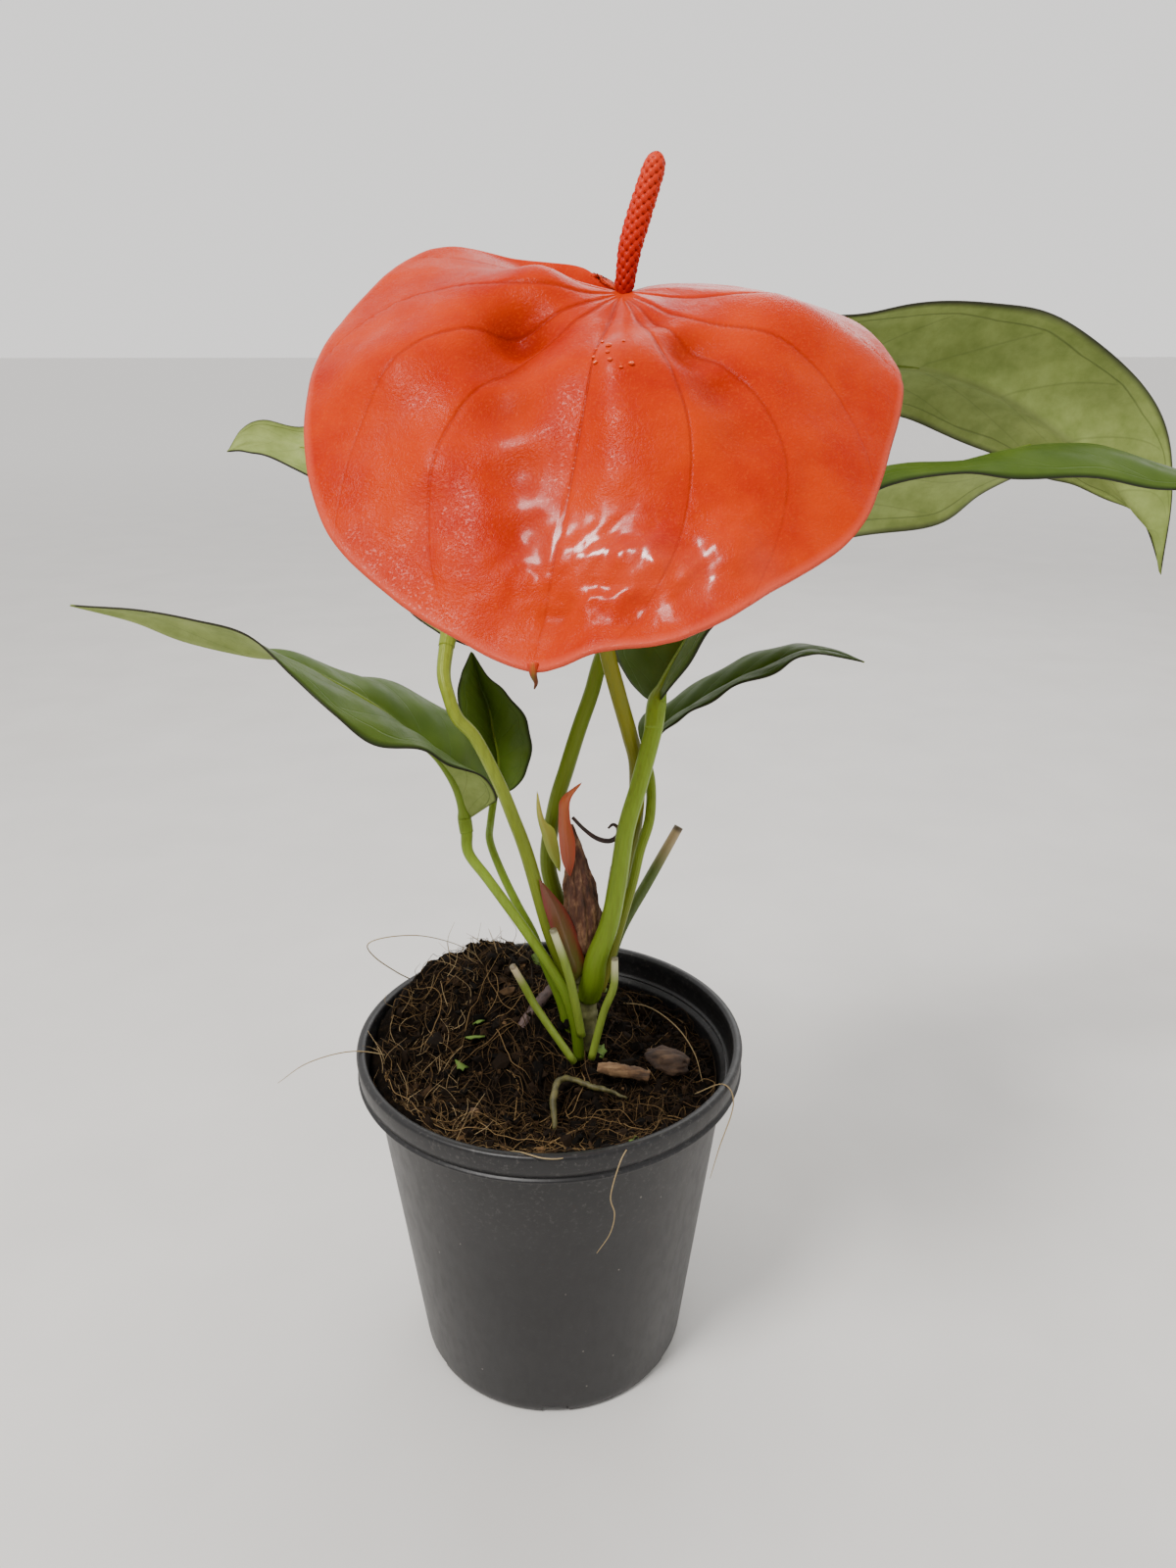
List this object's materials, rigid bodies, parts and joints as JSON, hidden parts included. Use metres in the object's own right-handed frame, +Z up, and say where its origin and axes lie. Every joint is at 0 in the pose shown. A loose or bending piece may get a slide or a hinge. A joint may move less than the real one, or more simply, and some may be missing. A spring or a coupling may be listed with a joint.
{
  "type": "potted anthurium",
  "caption": "Young flowering anthurium in a tapered nursery pot, with heart-shaped leaves, a glossy red-orange spathe and a knobbly spadix.",
  "frame": {"origin": "centre of the pot's flat underside, on the surface that the pot stands on", "axes": "+Z up; +X to the right and +Y to the back, seen with the spathe's tip towards the viewer"},
  "size_m": [0.2763, 0.1458, 0.2952],
  "materials": {
    "pot_plastic": "satin",
    "growing_mix": "matte",
    "leaf": "satin",
    "stem": "satin",
    "spathe": "gloss",
    "spadix": "satin",
    "sheath": "matte",
    "young_growth": "satin",
    "bark": "matte",
    "coir": "matte"
  },
  "bodies": {
    "root": {"pot": "pot_plastic", "growing_medium": "growing_mix", "blade_left_long": "leaf", "blade_left_small": "leaf", "blade_left_back": "leaf", "blade_right_upper": "leaf", "blade_right_lower": "leaf", "blade_right_small": "leaf", "leaf_scrap": "leaf", "crown": "stem", "petiole_left_long": "stem", "petiole_left_small": "stem", "petiole_left_back": "stem", "petiole_right_upper": "stem", "petiole_right_lower": "stem", "petiole_right_small": "stem", "peduncle": "stem", "cut_stub_1": "stem", "cut_stub_2": "stem", "cut_stub_3": "stem", "cut_stub_4": "stem", "cut_stub_5": "stem", "spathe": "spathe", "spadix": "spadix", "papery_sheath": "sheath", "red_edged_sheath": "sheath", "dry_tendril": "sheath", "new_shoot": "young_growth", "green_bract": "young_growth", "bark_stick": "bark", "bark_chunk": "bark", "brown_root": "bark", "olive_root": "bark", "pebble": "bark", "coir_fibre_left": "coir", "coir_fibre_front": "coir", "coir_fibre_right": "coir"}
  },
  "joints": []
}
